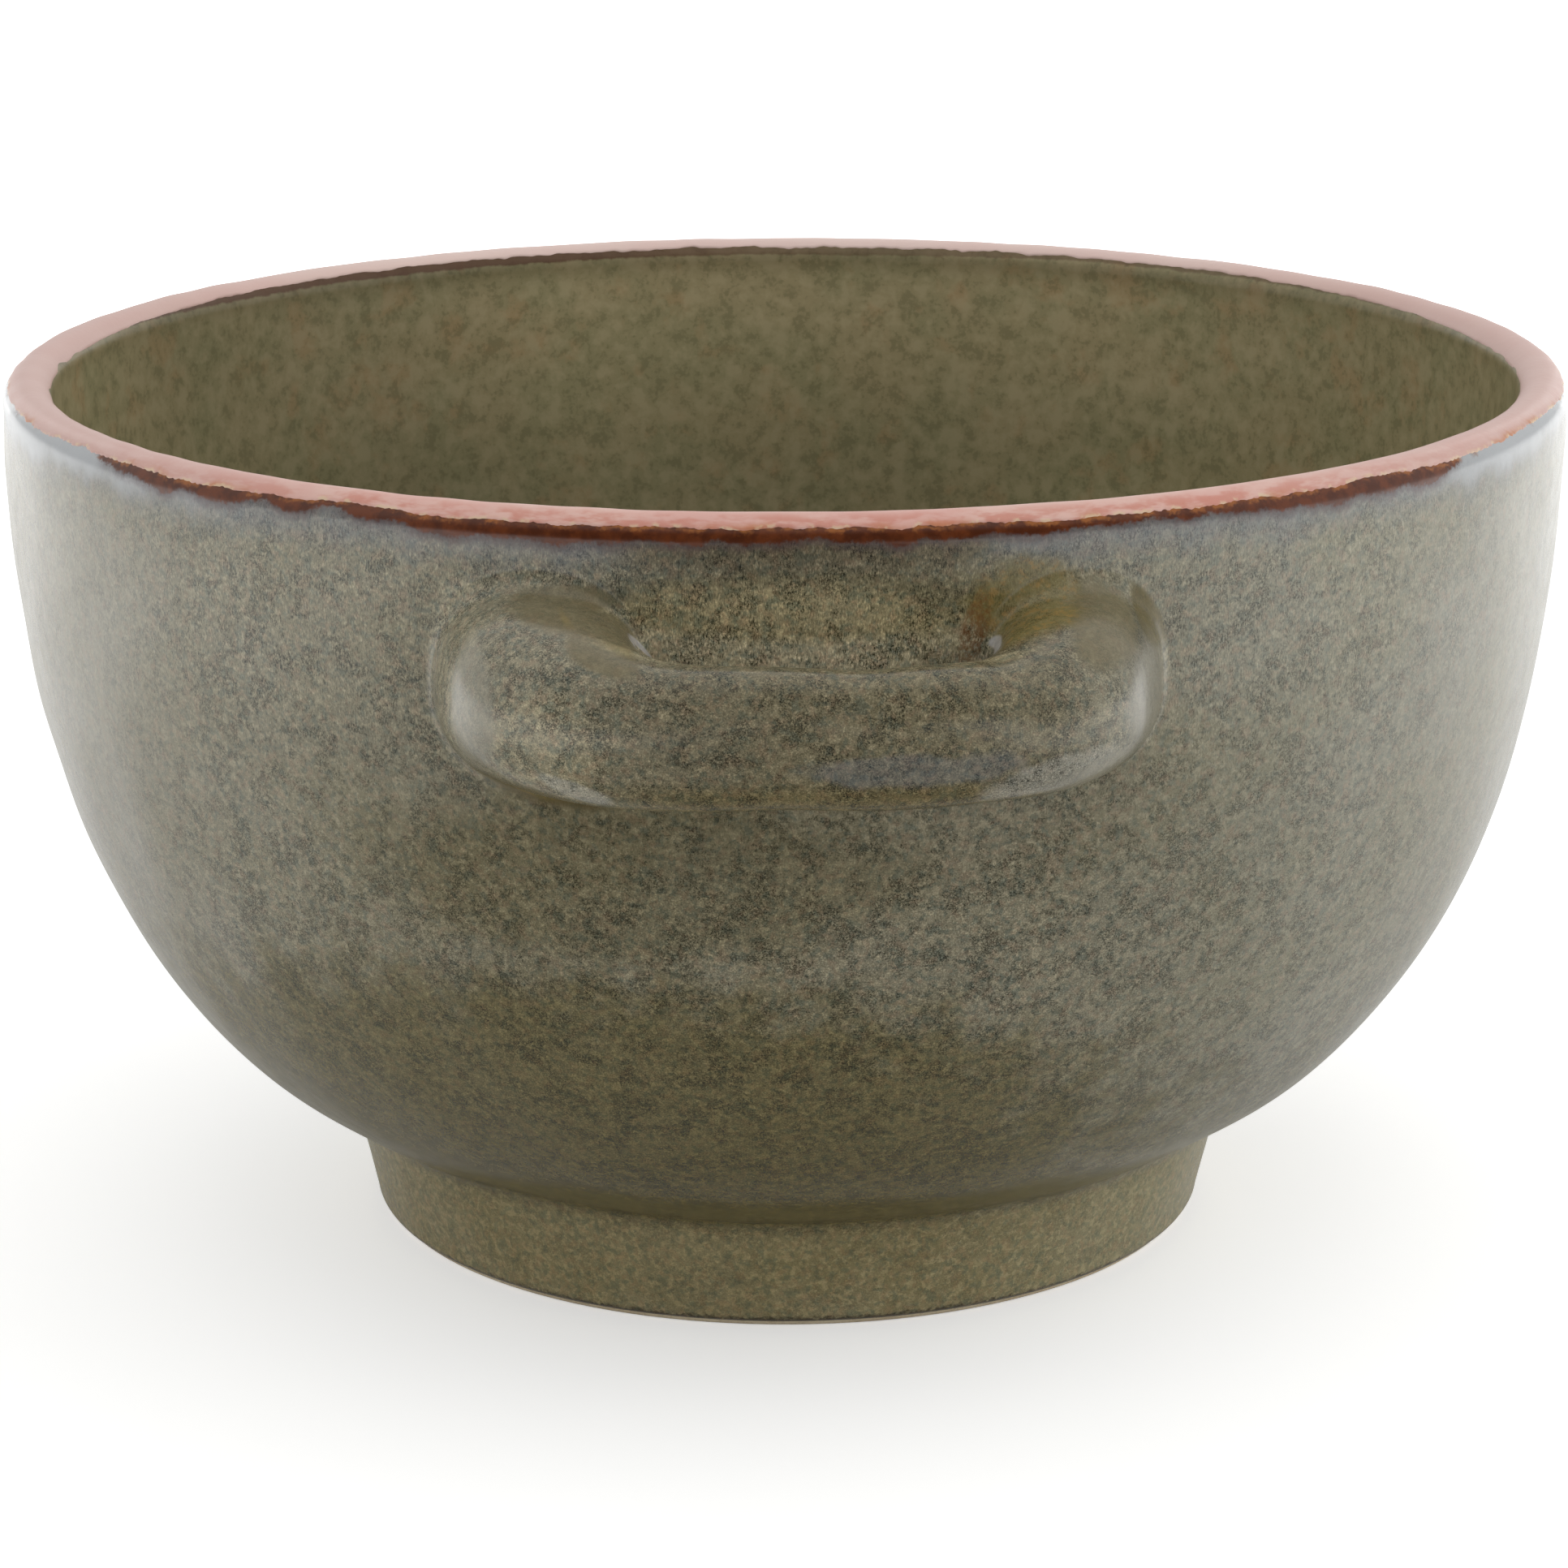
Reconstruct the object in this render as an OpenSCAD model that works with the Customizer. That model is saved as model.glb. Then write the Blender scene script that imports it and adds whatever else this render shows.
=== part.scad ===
// Lug soup bowl in glazed stoneware.
// A deep round bowl on a trimmed foot ring, with a level loop lug on each side.
// The outer glazed outline is drawn first. Every clay face and glaze coat is
// that outline moved in along its own normals, so the layers meet face to face.
// Millimetres, +Z up, origin at the middle of the foot's underside.
// The lugs lie along Y, and the front one is at -Y.

/* [Bowl] */
// Outer diameter at the rim
rim_d = 140; // [120:1:165]
// Height from the table to the top of the lip
bowl_h = 79; // [70:1:95]
// Thickness of the lip, glaze on both faces included
lip_t = 4.4; // [3.4:0.2:6]
// Thickness in the middle of the floor, glaze on both faces included
floor_t = 6.2; // [4.6:0.2:8]
// Thickness of every glaze coat
glaze_t = 0.5; // [0.3:0.05:0.7]

/* [Foot] */
// Diameter at the crease where the wall meets the foot
crease_d = 81; // [78:0.5:90]
// Height of that crease above the table
crease_h = 10.5; // [9:0.5:14]
// Diameter of the glazed foot at the table
foot_d = 76.4; // [70:0.2:78]
// Thickness of the foot ring at the table
foot_ring_t = 5.4; // [4:0.2:8]
// Thickness of the foot ring where it joins the base
foot_root_t = 7; // [5:0.2:9]
// Rounding of the foot ring's lower edges
foot_round = 0.9; // [0.4:0.1:1.4]
// Height of the bare clay left under the glaze's edge
bare_h = 1.2; // [0.9:0.1:2]
// Height of the hollow under the middle of the base
well_h = 6.3; // [4.5:0.1:7.5]
// Length of the pool of glaze that softens the crease
crease_pool = 1.6; // [0.8:0.1:2.4]

/* [Lugs] */
// Width of a lug over its two arms
lug_w = 53.6; // [50:0.2:60]
// Width of the finger gap between the two arms
lug_gap_w = 31; // [28:0.5:34]
// Distance that the lug's bar stands out past the rim
lug_reach = 13; // [12:0.5:17]
// Thickness of the bar, seen from above
lug_bar_t = 6.4; // [5.4:0.2:7.4]
// Height of the strap that forms the lug
lug_h = 10.8; // [9:0.2:12]
// Distance from the top of the lip down to the lug's middle
lug_drop = 14.9; // [13:0.1:22]
// Extra size of an arm all round where it spreads onto the wall
lug_flare = 2.8; // [2:0.2:3.6]
// Distance from the rim's radius in to the start of each arm
lug_sink = 13; // [12:0.5:15]

/* [Hidden] */

clay_colour = "#e6d9bd";
outside_colour = "#6f6b52";
inside_colour = "#6a6343";
lug_colour = "#64603f";
rim_colour = "#d8b8ad";

// Facets round the revolved bodies
$fn = 180;
// Points along the wall, the base and the lip
wall_steps = 32;
base_steps = 12;
lip_steps = 14;
edge_steps = 5;
pool_steps = 5;
// Steps that find the corner under the base
corner_steps = 6;
// Rings along half a lug and sides round it
lug_rings = 17;
lug_sides = 20;

rim_r = rim_d / 2;
lip_r = lip_t / 2;
lip_z = bowl_h - lip_r;
crease_r = crease_d / 2;
foot_r = foot_d / 2;
curve_h = lip_z - crease_h;
curve_w = rim_r - crease_r;

// Wall curve: how far its two handles reach, as shares of the curve's box
wall_top_share = 0.59;
wall_low_w_share = 0.59;
wall_low_h_share = 0.13;

// Rim band: angles round the lip's section, from level outwards to over the top
band_outer_angle = 42;
band_inner_angle = 135;

// Lug outlines seen from above: how far their handles reach, as shares of
// the arm's length and of half the width
outer_arm_share = 0.88;
outer_bar_share = 0.74;
inner_arm_share = 0.96;
inner_bar_share = 0.84;
// Lug section: 2 is an ellipse, more is squarer
lug_section_power = 2.5;
// Length of the flare along half a lug
lug_flare_share = 0.5;

function lerp(a, b, s) = a + (b - a) * s;
function unit_of(v) = v / norm(v);
// Inward normal of an outline that runs from the lip down and in to the axis
function inward(v) = [unit_of(v)[1], -unit_of(v)[0]];

function bezier(p, t) =
    pow(1 - t, 3) * p[0] + 3 * pow(1 - t, 2) * t * p[1]
    + 3 * (1 - t) * t * t * p[2] + pow(t, 3) * p[3];
function bezier_slope(p, t) =
    3 * pow(1 - t, 2) * (p[1] - p[0]) + 6 * (1 - t) * t * (p[2] - p[1])
    + 3 * t * t * (p[3] - p[2]);

// Outer glazed outline of the wall, from the lip to the crease
wall_curve = [
    [rim_r, lip_z],
    [rim_r, lip_z - wall_top_share * curve_h],
    [crease_r + wall_low_w_share * curve_w, crease_h + wall_low_h_share * curve_h],
    [crease_r, crease_h]
];

// The base carries the wall's slope on under the bowl and flattens at the axis
crease_slope = wall_low_h_share * curve_h / (wall_low_w_share * curve_w);
base_rise = crease_h - well_h;
base_power = crease_slope * crease_r / base_rise;
function base_point(r) = [r, well_h + base_rise * pow(r / crease_r, base_power)];
function base_slope(r) =
    [-1, -base_rise * base_power / crease_r * pow(r / crease_r, base_power - 1)];

// Stations along the whole outline: [point, inward normal]
ring_root_r = crease_r - foot_root_t;
wall_stations = [
    for (i = [0:wall_steps])
        let (t = i / wall_steps)
        [bezier(wall_curve, t), inward(bezier_slope(wall_curve, t))]
];
under_ring_stations = [
    for (i = [1:base_steps])
        let (r = lerp(crease_r, ring_root_r, i / base_steps))
        [base_point(r), inward(base_slope(r))]
];
well_stations = [
    for (i = [1:base_steps])
        let (r = lerp(ring_root_r, 0, i / base_steps))
        [base_point(r), inward(base_slope(r))]
];
stations = concat(wall_stations, under_ring_stations, well_stations);
last = len(stations) - 1;
ring_root = wall_steps + base_steps;

// The wall thickens evenly from the lip to the floor
function thickness(i) = lerp(lip_t, floor_t, i / last);
function moved(i, depth) = stations[i][0] + depth * stations[i][1];
function clay_out(from, to) = [for (i = [from:to]) moved(i, glaze_t)];
function clay_in(from, to) = [for (i = [from:to]) moved(i, thickness(i) - glaze_t)];
function glazed_in(from, to) = [for (i = [from:to]) moved(i, thickness(i))];
function reversed(list) = [for (i = [len(list) - 1:-1:0]) list[i]];

// Arc round the lip's centre, between two angles
function lip_arc(radius, from, to) = [
    for (i = [0:lip_steps])
        let (a = lerp(from, to, i / lip_steps))
        [rim_r - lip_r + radius * cos(a), lip_z + radius * sin(a)]
];
function without_first(list) = [for (i = [1:len(list) - 1]) list[i]];
function without_last(list) = [for (i = [0:len(list) - 2]) list[i]];

// Rounded lower corner of the foot ring, as a quarter arc
function foot_corner(centre, from, to) = [
    for (i = [0:edge_steps])
        let (a = lerp(from, to, i / edge_steps))
        centre + foot_round * [cos(a), sin(a)]
];

clay_crease = moved(wall_steps, glaze_t);
clay_ring_root = moved(ring_root, glaze_t);
clay_foot_r = foot_r - glaze_t;
ring_inner_r = clay_foot_r - foot_ring_t;

// Radius of the foot ring's clay sides at a height
function foot_side_r(z) = lerp(clay_foot_r, clay_crease[0], z / clay_crease[1]);
function ring_side_r(z) = lerp(ring_inner_r, clay_ring_root[0], z / clay_ring_root[1]);

// Where the wall's curve gives way to the pool of glaze in the crease
pool_start = 1 - crease_pool / norm(bezier_slope(wall_curve, 1));
pool_wall_point = bezier(wall_curve, pool_start);
pool_foot_z = crease_h - crease_pool;
pool_foot_point = [foot_side_r(pool_foot_z) + glaze_t, pool_foot_z];

// The same pool inside the foot ring, where the base meets the ring's side:
// each step moves the radius to the ring's side at the base's height there
function corner_r(r, steps) =
    steps == 0 ? r : corner_r(ring_side_r(base_point(r)[1]) - glaze_t, steps - 1);
well_corner_r = corner_r(ring_root_r, corner_steps);
well_corner = base_point(well_corner_r);
well_pool_start = base_point(well_corner_r - crease_pool);
well_pool_z = well_corner[1] - crease_pool;
well_pool_end = [ring_side_r(well_pool_z) - glaze_t, well_pool_z];

// Curve that softens a corner, from start to end
function pool(start, corner, end) = [
    for (i = [0:pool_steps])
        let (t = i / pool_steps)
        pow(1 - t, 2) * start + 2 * (1 - t) * t * corner + t * t * end
];

module turned(outline) {
    rotate_extrude() polygon(outline);
}

module bowl_body() {
    color(clay_colour) turned(concat(
        reversed(lip_arc(lip_r - glaze_t, 0, 180)),
        without_first(clay_out(0, last)),
        without_last(reversed(clay_in(0, last)))
    ));
}

module foot_ring() {
    color(clay_colour) turned(concat(
        clay_out(wall_steps, ring_root),
        foot_corner([ring_side_r(foot_round) + foot_round, foot_round], 180, 270),
        foot_corner([foot_side_r(foot_round) - foot_round, foot_round], 270, 360)
    ));
}

module inside_glaze() {
    color(inside_colour) turned(concat(
        lip_arc(lip_r, band_inner_angle, 180),
        without_first(glazed_in(0, last)),
        without_last(reversed(clay_in(0, last))),
        reversed(lip_arc(lip_r - glaze_t, band_inner_angle, 180))
    ));
}

module rim_band() {
    color(rim_colour) turned(concat(
        lip_arc(lip_r, band_outer_angle, band_inner_angle),
        reversed(lip_arc(lip_r - glaze_t, band_outer_angle, band_inner_angle))
    ));
}

module foot_well_glaze() {
    open_base = [
        for (i = [last:-1:ring_root])
            if (moved(i, 0)[0] < well_pool_start[0]) moved(i, 0)
    ];
    color(inside_colour) turned(concat(
        open_base,
        pool(well_pool_start, well_corner, well_pool_end),
        [[ring_side_r(bare_h) - glaze_t, bare_h], [ring_side_r(bare_h), bare_h]],
        clay_out(ring_root, last)
    ));
}

// Glaze on the wall and the foot's side, before the lugs are let in
module outside_coat() {
    open_wall = [
        for (i = [1:wall_steps - 1])
            bezier(wall_curve, pool_start * i / wall_steps)
    ];
    turned(concat(
        reversed(lip_arc(lip_r, 0, band_outer_angle)),
        open_wall,
        pool(pool_wall_point, [crease_r, crease_h], pool_foot_point),
        [[foot_side_r(bare_h) + glaze_t, bare_h], [foot_side_r(bare_h), bare_h]],
        reversed(clay_out(0, wall_steps)),
        without_first(lip_arc(lip_r - glaze_t, 0, band_outer_angle))
    ));
}

module outside_glaze() {
    color(outside_colour) difference() {
        outside_coat();
        lug_sweep(0);
        rotate(180) lug_sweep(0);
    }
}

// Half a lug seen from above: the outer outline and the finger gap's outline,
// each from the arm's root to the middle of the bar
lug_z = bowl_h - lug_drop;
lug_root_y = rim_r - lug_sink;
function lug_outline(half_w, bar_y, arm_share, bar_share) = [
    [half_w, lug_root_y],
    [half_w, lerp(lug_root_y, bar_y, arm_share)],
    [bar_share * half_w, bar_y],
    [0, bar_y]
];
outer_curve = lug_outline(
    lug_w / 2, rim_r + lug_reach, outer_arm_share, outer_bar_share);
inner_curve = lug_outline(
    lug_gap_w / 2, rim_r + lug_reach - lug_bar_t, inner_arm_share, inner_bar_share);

// The section flares where it meets the wall
function lug_flare_at(t) = lug_flare * pow(max(0, 1 - t / lug_flare_share), 2);
function superellipse(a) = pow(abs(a), 2 / lug_section_power) * sign(a);

// One ring of the lug; s runs from -1 at one root over 0 at the bar to 1
function lug_ring(s, inset) =
    let (
        t = 1 - abs(s),
        side = s > 0 ? 1 : -1,
        outer = bezier(outer_curve, t),
        inner = bezier(inner_curve, t),
        middle = (outer + inner) / 2,
        across = unit_of(outer - inner),
        half_w = norm(outer - inner) / 2 + lug_flare_at(t) - inset,
        half_h = lug_h / 2 + lug_flare_at(t) - inset
    )
    [
        for (i = [0:lug_sides - 1])
            let (
                a = 360 * i / lug_sides,
                flat = middle + half_w * superellipse(cos(a)) * across
            )
            [side * flat[0], flat[1], lug_z + half_h * superellipse(sin(a))]
    ];

// Solid of the whole loop; inset draws it in to the clay under the glaze
module lug_sweep(inset) {
    rings = [for (k = [-lug_rings:lug_rings]) lug_ring(k / lug_rings, inset)];
    count = len(rings);
    points = [for (ring = rings, p = ring) p];
    start_cap = [for (i = [0:lug_sides - 1]) i];
    end_cap = [for (i = [lug_sides - 1:-1:0]) (count - 1) * lug_sides + i];
    sides = [
        for (k = [0:count - 2], i = [0:lug_sides - 1])
            let (
                j = (i + 1) % lug_sides,
                a = k * lug_sides + i,
                b = k * lug_sides + j,
                c = a + lug_sides,
                d = b + lug_sides
            )
            each [[a, c, b], [b, c, d]]
    ];
    polyhedron(points, concat([start_cap, end_cap], sides));
}

// The part of the bowl's clay that a lug is joined to, filled to the axis
module clay_core() {
    turned(concat(
        [[0, lip_z]],
        clay_out(0, wall_steps),
        [[0, clay_crease[1]]]
    ));
}

module lug_clay() {
    color(clay_colour) difference() {
        lug_sweep(glaze_t);
        clay_core();
    }
}

module lug_coat() {
    color(lug_colour) difference() {
        lug_sweep(0);
        lug_sweep(glaze_t);
        clay_core();
    }
}

module lug_front() {
    rotate(180) lug_clay();
}

module lug_back() {
    lug_clay();
}

module lug_glaze_front() {
    rotate(180) lug_coat();
}

module lug_glaze_back() {
    lug_coat();
}

bowl_body();
foot_ring();
lug_front();
lug_back();
inside_glaze();
outside_glaze();
foot_well_glaze();
rim_band();
lug_glaze_front();
lug_glaze_back();
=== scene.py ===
import math

import bpy
import numpy as np
from mathutils import Matrix, Vector


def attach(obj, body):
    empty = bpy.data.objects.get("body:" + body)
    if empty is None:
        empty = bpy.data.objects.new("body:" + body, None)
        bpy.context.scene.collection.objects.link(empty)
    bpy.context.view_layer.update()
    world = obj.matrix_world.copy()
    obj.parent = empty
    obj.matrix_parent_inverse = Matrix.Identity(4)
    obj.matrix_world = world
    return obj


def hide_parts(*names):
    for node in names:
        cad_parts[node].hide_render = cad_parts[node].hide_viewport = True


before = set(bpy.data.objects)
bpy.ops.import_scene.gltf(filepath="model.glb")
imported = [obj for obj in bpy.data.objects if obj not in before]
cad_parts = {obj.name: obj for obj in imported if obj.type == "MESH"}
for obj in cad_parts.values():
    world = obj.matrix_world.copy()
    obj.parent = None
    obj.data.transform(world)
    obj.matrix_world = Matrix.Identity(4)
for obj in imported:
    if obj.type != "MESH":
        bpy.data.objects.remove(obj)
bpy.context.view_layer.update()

# Every size below is in millimetres and is the same as in the solids
MM = 0.001
RIM_R = 70.0
BOWL_H = 79.0
LIP_R = 2.2
LIP_Z = BOWL_H - LIP_R
LIP_CENTRE_R = RIM_R - LIP_R
LIP_T = 4.4
FLOOR_T = 6.2
CREASE_R = 40.5
CREASE_H = 10.5
FOOT_R = 38.2
FOOT_ROOT_T = 7.0
WELL_H = 6.3
CREASE_POOL = 1.6
GLAZE_T = 0.5
SKIN_T = 0.42

LUG_HALF_W = 26.8
LUG_GAP_HALF_W = 15.5
LUG_REACH = 13.0
LUG_BAR_T = 6.4
LUG_H = 10.8
LUG_Z = 64.1
LUG_ROOT_Y = 57.0
LUG_FLARE_START = 0.12
ROOT_FLARE = 1.5
ROOT_FLARE_SPAN = (0.05, 0.36)
LUG_TOP_POWER = 2.5
LUG_UNDER_POWER = 2.1
# Each arm seen from the front: where its flare ends along it, how much thicker it gets
# upwards, downwards and sideways, and how much glaze has pooled under it
RIGHT_ARM = (0.66, 2.9, 0.1, 1.5, 0.3)
LEFT_ARM = (0.95, 3.1, 0.4, 2.6, 1.3)

# The wall's curve from the lip down to the crease, with its two handles
WALL_CURVE = np.array([
    [RIM_R, LIP_Z],
    [RIM_R, LIP_Z - 0.59 * (LIP_Z - CREASE_H)],
    [CREASE_R + 0.59 * (RIM_R - CREASE_R), CREASE_H + 0.13 * (LIP_Z - CREASE_H)],
    [CREASE_R, CREASE_H],
])
BASE_RISE = CREASE_H - WELL_H
BASE_POWER = 4.775

# Where the pink band ends, as run along the lip's section from its top
BAND_OUTER_RUN = 2.15
BAND_INNER_RUN = 1.8
# How wide the rust under the band is at bearings in degrees from the nearer lug
RUST_BEARINGS = [-90, -60, -54, -50, -43, -33, -24, -18, -10, -2, 8,
                 15, 19, 25, 30, 36, 43, 47, 50, 52, 90]
RUST_WIDTHS = [0.0, 0.0, 0.4, 1.0, 0.9, 0.7, 1.2, 1.4, 1.2, 1.0, 1.1,
               0.9, 0.6, 0.6, 0.9, 1.3, 1.4, 1.2, 0.6, 0.0, 0.0]

BODY = "root"

# The camera that fits the photograph: place in mm, turns in degrees but the roll in radians
CAMERA_PLACE = (-10.44, -427.36, 156.35)
CAMERA_HEADING = -1.4
CAMERA_TILT = 90 - 15.385
CAMERA_ROLL = -0.0025
CAMERA_LENS = 109.84
CAMERA_SHIFT = -0.001475
FLOOR_HALF_W = 3000.0

# Brightness of the lamps and of the surround, where 1 is white
FLOOR_SIDE_GLOW = 1.15
FRONT_SHADE = 0.95
WORLD_LIGHT = 0.92
WORLD_WHITE = 1.0
LEFT_LAMP = 0.5
RIGHT_LAMP = 1.15
OVERHEAD_LAMP = 0.3
FRONT_LAMP = 0.3
STRIP_LAMP = 2.5


# Curves and waves

def bezier(handles, t):
    t = np.asarray(t, float)[..., None]
    return ((1 - t) ** 3 * handles[0] + 3 * (1 - t) ** 2 * t * handles[1]
            + 3 * (1 - t) * t ** 2 * handles[2] + t ** 3 * handles[3])


def bezier_slope(handles, t):
    t = np.asarray(t, float)[..., None]
    return (3 * (1 - t) ** 2 * (handles[1] - handles[0])
            + 6 * (1 - t) * t * (handles[2] - handles[1])
            + 3 * t ** 2 * (handles[3] - handles[2]))


def unit(vectors):
    return vectors / np.linalg.norm(vectors, axis=-1, keepdims=True)


def smooth_step(low, high, value):
    s = np.clip((value - low) / (high - low), 0, 1)
    return s * s * (3 - 2 * s)


def waves(points, shortest, longest, count, seed):
    """Sum of even waves in space, about 1 high, the same on every run."""
    dice = np.random.default_rng(seed)
    total = np.zeros(len(points))
    for _ in range(count):
        way = unit(dice.normal(size=3))
        length = shortest * (longest / shortest) ** dice.random()
        total += np.sin(2 * math.pi * (points @ way) / length + 2 * math.pi * dice.random())
    return total / math.sqrt(count / 2)


def ring_waves(angles, radius, shortest, longest, count, seed):
    """The same round a circle, with whole numbers of waves so that it closes."""
    dice = np.random.default_rng(seed)
    total = np.zeros(len(angles))
    for _ in range(count):
        length = shortest * (longest / shortest) ** dice.random()
        turns = max(1, round(2 * math.pi * radius / length))
        total += np.sin(turns * angles + 2 * math.pi * dice.random())
    return total / math.sqrt(count / 2)


# Meshes

def mesh_object(name, points, faces, **values):
    """A smooth piece; values are numbers per vertex that its material reads."""
    mesh = bpy.data.meshes.new(name)
    mesh.from_pydata((np.asarray(points) * MM).tolist(), [], faces)
    mesh.polygons.foreach_set("use_smooth", [True] * len(mesh.polygons))
    for key, numbers in values.items():
        layer = mesh.attributes.new(key, "FLOAT", "POINT")
        layer.data.foreach_set("value", np.asarray(numbers, np.float32).reshape(-1))
    mesh.update()
    piece = bpy.data.objects.new(name, mesh)
    bpy.context.scene.collection.objects.link(piece)
    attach(piece, BODY)
    return piece


def vertex_normals(points, faces):
    """Normals weighted by area, for faces of three or four corners."""
    normals = np.zeros_like(points)
    for count in (3, 4):
        some = np.array([f for f in faces if len(f) == count])
        if len(some) == 0:
            continue
        a, b, c = points[some[:, 0]], points[some[:, 1]], points[some[:, 2]]
        d = points[some[:, -1]]
        across = np.cross(c - a, d - b) if count == 4 else np.cross(b - a, c - a)
        for corner in range(count):
            np.add.at(normals, some[:, corner], across)
    return unit(normals)


def closed_shell(points, faces, borders, thickness):
    """Adds a second skin under the first and joins the two along the borders."""
    count = len(points)
    under = points - thickness * vertex_normals(points, faces)
    faces = faces + [tuple(count + v for v in reversed(f)) for f in faces]
    for border in borders:
        for a, b in zip(border, border[1:] + border[:1]):
            faces.append((b, a, count + a, count + b))
    return np.concatenate([points, under]), faces


# The bowl's outlines

FINE = np.linspace(0, 1, 4001)
WALL_FINE = bezier(WALL_CURVE, FINE)


def wall_r(z):
    """Radius of the outside at a height on the wall."""
    return np.interp(z, WALL_FINE[::-1, 1], WALL_FINE[::-1, 0])


def even_steps(curve, count):
    """Points evenly spaced along a finely drawn curve."""
    run = np.concatenate([[0], np.cumsum(np.linalg.norm(np.diff(curve, axis=0), axis=1))])
    where = np.linspace(0, run[-1], count + 1)
    return np.stack([np.interp(where, run, curve[:, 0]), np.interp(where, run, curve[:, 1])], 1)


def lip_arc(angles, radius):
    angles = np.radians(angles)
    return np.stack([LIP_CENTRE_R + radius * np.cos(angles), LIP_Z + radius * np.sin(angles)], 1)


def pool(start, corner, end, count):
    t = np.linspace(0, 1, count + 1)[:, None]
    return (1 - t) ** 2 * start + 2 * (1 - t) * t * corner + t ** 2 * end


def foot_side_r(z):
    """Radius of the glaze on the foot's side."""
    clay_crease_r = CREASE_R - GLAZE_T * 0.44
    clay_crease_z = CREASE_H + GLAZE_T * 0.9
    clay_r = FOOT_R - GLAZE_T
    return clay_r + (clay_crease_r - clay_r) * z / clay_crease_z + GLAZE_T


def outside_outline():
    """From under the pink band down to the glaze's edge on the foot."""
    angles = np.linspace(60, 0, 17)
    sunk = 0.07 * smooth_step(20, 44, angles)
    lip = lip_arc(angles, LIP_R - sunk)
    end_speed = np.linalg.norm(bezier_slope(WALL_CURVE, 1.0))
    pool_start = 1 - CREASE_POOL / end_speed
    wall = even_steps(WALL_FINE[FINE <= pool_start], 112)
    pool_z = CREASE_H - CREASE_POOL
    crease = pool(wall[-1], np.array([CREASE_R, CREASE_H]),
                  np.array([foot_side_r(pool_z), pool_z]), 14)
    side_z = np.linspace(pool_z, 1.7, 12)
    side = np.stack([foot_side_r(side_z), side_z], 1)
    turn = np.radians(np.linspace(0, 62, 9))
    edge_r = 1.25
    edge = np.stack([foot_side_r(1.7) - edge_r * (1 - np.cos(turn)),
                     1.7 - edge_r * np.sin(turn)], 1)
    return np.concatenate([lip, wall[1:], crease[1:], side[1:], edge[1:]])


def run_along(outline, start):
    steps = np.linalg.norm(np.diff(outline, axis=0), axis=1)
    return start + np.concatenate([[0], np.cumsum(steps)])


def base_z(r):
    return WELL_H + BASE_RISE * (r / CREASE_R) ** BASE_POWER


def inside_outline():
    """From under the pink band down the inside to the middle of the floor."""
    angles = np.linspace(124, 180, 14)
    sunk = 0.07 * (1 - smooth_step(140, 160, angles))
    lip = lip_arc(angles, LIP_R - sunk)
    t = np.linspace(0, 1, 400)
    r = np.linspace(CREASE_R, 0, 400)[1:]
    outer = np.concatenate([bezier(WALL_CURVE, t), np.stack([r, base_z(r)], 1)])
    base_slope = np.stack([-np.ones_like(r),
                           -BASE_RISE * BASE_POWER / CREASE_R
                           * (r / CREASE_R) ** (BASE_POWER - 1)], 1)
    slope = unit(np.concatenate([bezier_slope(WALL_CURVE, t), base_slope]))
    inward = np.stack([slope[:, 1], -slope[:, 0]], 1)
    ring_root = CREASE_R - FOOT_ROOT_T
    under = np.where(r > ring_root, 32 + 12 * (CREASE_R - r) / FOOT_ROOT_T,
                     44 + 12 * (ring_root - r) / ring_root)
    station = np.concatenate([32 * t, under]) / 56
    thickness = (LIP_T + (FLOOR_T - LIP_T) * station)[:, None]
    inner = even_steps(outer + thickness * inward, 140)
    inner[-1, 0] = 0
    return np.concatenate([lip, inner[1:]])


# The outside glaze, with both lugs grown out of it

COLUMNS = 540
WINDOW_REACH_U = 12.4
WINDOW_LOW_Z = 51.6
WINDOW_HIGH_Z = 76.0
FLAT_R = 69.6
OUTER_CURVE = np.array([
    [LUG_HALF_W, LUG_ROOT_Y],
    [LUG_HALF_W, LUG_ROOT_Y + 0.88 * (RIM_R + LUG_REACH - LUG_ROOT_Y)],
    [0.74 * LUG_HALF_W, RIM_R + LUG_REACH],
    [0, RIM_R + LUG_REACH],
])
INNER_BAR_Y = RIM_R + LUG_REACH - LUG_BAR_T
INNER_CURVE = np.array([
    [LUG_GAP_HALF_W, LUG_ROOT_Y],
    [LUG_GAP_HALF_W, LUG_ROOT_Y + 0.96 * (INNER_BAR_Y - LUG_ROOT_Y)],
    [0.84 * LUG_GAP_HALF_W, INNER_BAR_Y],
    [0, INNER_BAR_Y],
])


def lug_points(t, angle, arm):
    """Points of half a lug: reach from the bowl's axis, way to the side, height."""
    flare_end, flare_up, flare_down, flare_side, _ = arm
    outer, inner = bezier(OUTER_CURVE, t), bezier(INNER_CURVE, t)
    middle, across = (outer + inner) / 2, unit(outer - inner)
    flare = 1 - smooth_step(LUG_FLARE_START, flare_end, t)
    above = np.sin(angle) > 0
    half_w = np.linalg.norm(outer - inner, axis=-1) / 2 + flare_side * flare
    half_h = LUG_H / 2 + np.where(above, flare_up, flare_down) * flare
    # Under the arm the glaze covers the clay's own flare next to the wall
    half_h = half_h + np.where(above, 0, ROOT_FLARE) * (1 - smooth_step(*ROOT_FLARE_SPAN, t))
    power = np.where(above, LUG_TOP_POWER, LUG_UNDER_POWER)
    corner = ((np.abs(np.cos(angle)) ** power
               + np.abs(np.sin(angle)) ** power) ** (-1 / power))
    flat = middle + (half_w * corner * np.cos(angle))[..., None] * across
    height = LUG_Z + half_h * corner * np.sin(angle)
    return np.stack([flat[..., 1], flat[..., 0], height], -1)


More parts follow.
